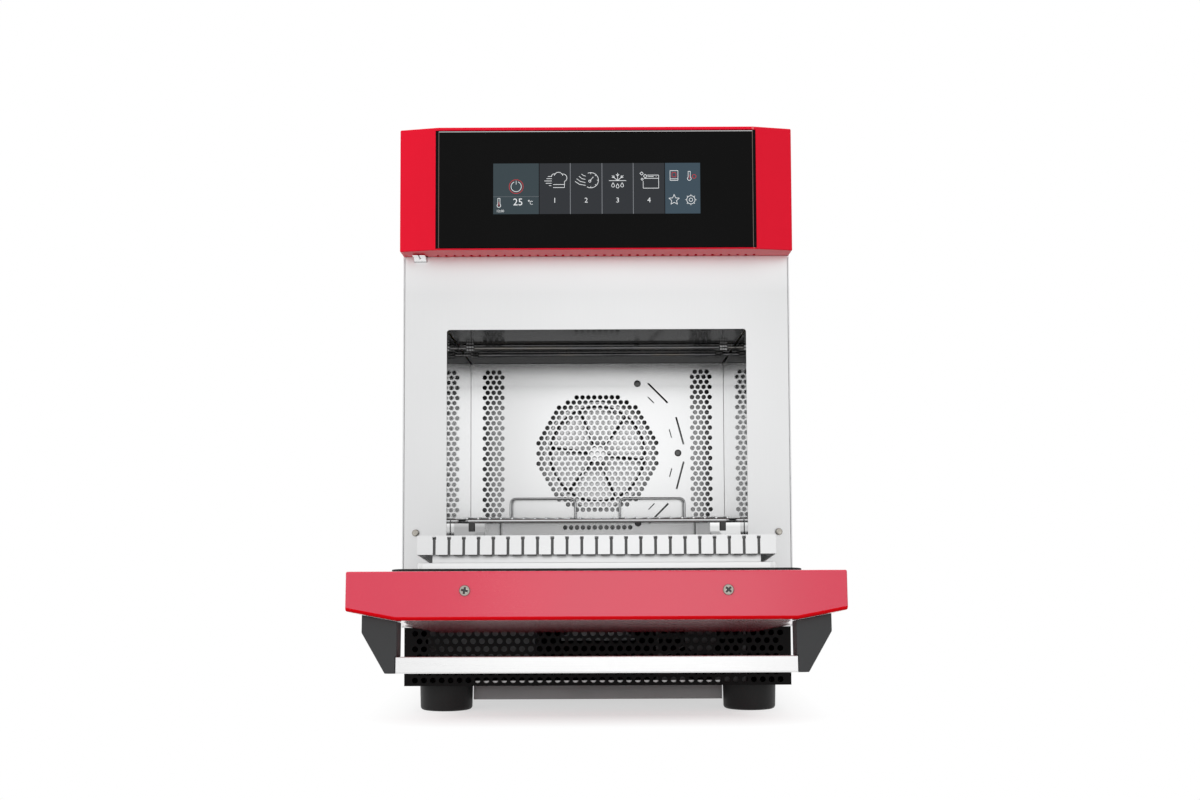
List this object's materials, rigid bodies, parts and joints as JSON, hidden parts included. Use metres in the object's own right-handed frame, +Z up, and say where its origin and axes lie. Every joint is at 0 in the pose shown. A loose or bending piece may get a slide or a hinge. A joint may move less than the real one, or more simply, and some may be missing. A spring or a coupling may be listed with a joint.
{
  "type": "convection microwave oven",
  "caption": "Countertop convection microwave oven with a drop-down door, bevelled red hood with a glass control panel, wire rack and rear fan.",
  "frame": {"origin": "middle of the footprint of the oven with its door open, on the surface that the feet stand on", "axes": "+X to the right seen from the front, +Y to the back, +Z up"},
  "size_m": [0.4, 0.9563, 0.5945],
  "materials": {
    "red_paint": "gloss enamel",
    "brushed_steel": "brushed",
    "handle_steel": "brushed along the bar",
    "cavity_steel": "bright rolled",
    "wire_steel": "bright",
    "heater_steel": "satin, heat tinted",
    "fan_steel": "satin",
    "black_paint": "fine textured powder coat",
    "black_glass": "gloss, opaque",
    "black_plastic": "matte",
    "black_rubber": "matte",
    "grey_steel": "satin",
    "grey_filter": "satin",
    "grey_aluminium": "satin",
    "white_ceramic": "satin glaze",
    "mineral_wool": "matt fibre",
    "green_board": "satin",
    "dark_display": "satin"
  },
  "bodies": {
    "cabinet": {"hood_shell": "red_paint", "front_fascia": "brushed_steel", "side_panel_left": "brushed_steel", "side_panel_right": "brushed_steel", "rear_panel": "brushed_steel", "top_cover": "brushed_steel", "cavity_wall_left": "cavity_steel", "cavity_wall_right": "cavity_steel", "cavity_ceiling": "cavity_steel", "cavity_floor": "cavity_steel", "cavity_rear_wall": "cavity_steel", "rack_channel_left": "cavity_steel", "rack_channel_right": "cavity_steel", "waveguide": "cavity_steel", "grill_element_front": "heater_steel", "grill_element_rear": "heater_steel", "ring_heater": "heater_steel", "base_pan": "black_paint", "base_grille": "black_paint", "control_glass": "black_glass", "cord_gland": "black_plastic", "cooling_fan_housing": "black_plastic", "door_switch": "black_plastic", "foot_front_left": "black_rubber", "foot_front_right": "black_rubber", "foot_rear_left": "black_rubber", "foot_rear_right": "black_rubber", "filter_rail_left": "grey_steel", "filter_rail_right": "grey_steel", "plenum_housing": "grey_steel", "fan_motor": "grey_steel", "stirrer_motor": "grey_steel", "hinge_arm_left": "grey_steel", "hinge_arm_right": "grey_steel", "door_bumper_left": "grey_steel", "door_bumper_right": "grey_steel", "magnetron": "grey_aluminium", "power_supply": "grey_aluminium", "ceramic_plate": "white_ceramic", "insulation_top": "mineral_wool", "control_board": "green_board", "display_module": "dark_display"},
    "door": {"door_outer_shell": "red_paint", "door_inner_panel": "brushed_steel", "door_gasket": "black_rubber", "door_liner": "brushed_steel", "choke_comb": "brushed_steel", "handle_bracket_left": "black_plastic", "handle_bracket_right": "black_plastic", "handle_bar": "handle_steel", "door_screw_left": "wire_steel", "door_screw_right": "wire_steel", "hinge_strap_left": "grey_steel", "hinge_strap_right": "grey_steel"},
    "convection_fan": {"convection_fan": "fan_steel"},
    "mode_stirrer": {"mode_stirrer": "fan_steel"},
    "cooling_fan": {"cooling_fan_rotor": "black_plastic"},
    "filter": {"filter_tray": "grey_filter"},
    "rack": {"oven_rack": "wire_steel"},
    "switch_plunger": {"door_switch_plunger": "wire_steel"}
  },
  "joints": [
    {"name": "door_hinge", "type": "hinge", "parent": "cabinet", "child": "door", "pos_m": [0, -0.11978, 0.108], "axis": [-1, 0, 0], "range_deg": [0, 84.75]},
    {"name": "rack_lift", "type": "slide", "parent": "cabinet", "child": "rack", "axis": [0, 0, 1], "range_m": [0, 0.04]},
    {"name": "filter_slide", "type": "slide", "parent": "cabinet", "child": "filter", "axis": [0, -1, 0], "range_m": [0, 0.25]},
    {"name": "switch_press", "type": "slide", "parent": "cabinet", "child": "switch_plunger", "axis": [0, 1, 0], "range_m": [0, 0.003], "stiffness_N_per_m": 400},
    {"name": "convection_fan_spin", "type": "hinge", "parent": "cabinet", "child": "convection_fan", "pos_m": [0, 0.25022, 0.2775], "axis": [0, -1, 0], "continuous": true},
    {"name": "stirrer_spin", "type": "hinge", "parent": "cabinet", "child": "mode_stirrer", "pos_m": [0, 0.07022, 0.155], "axis": [0, 0, 1], "continuous": true},
    {"name": "cooling_fan_spin", "type": "hinge", "parent": "cabinet", "child": "cooling_fan", "pos_m": [0.106, -0.07978, 0.0751], "axis": [0, -1, 0], "continuous": true}
  ]
}
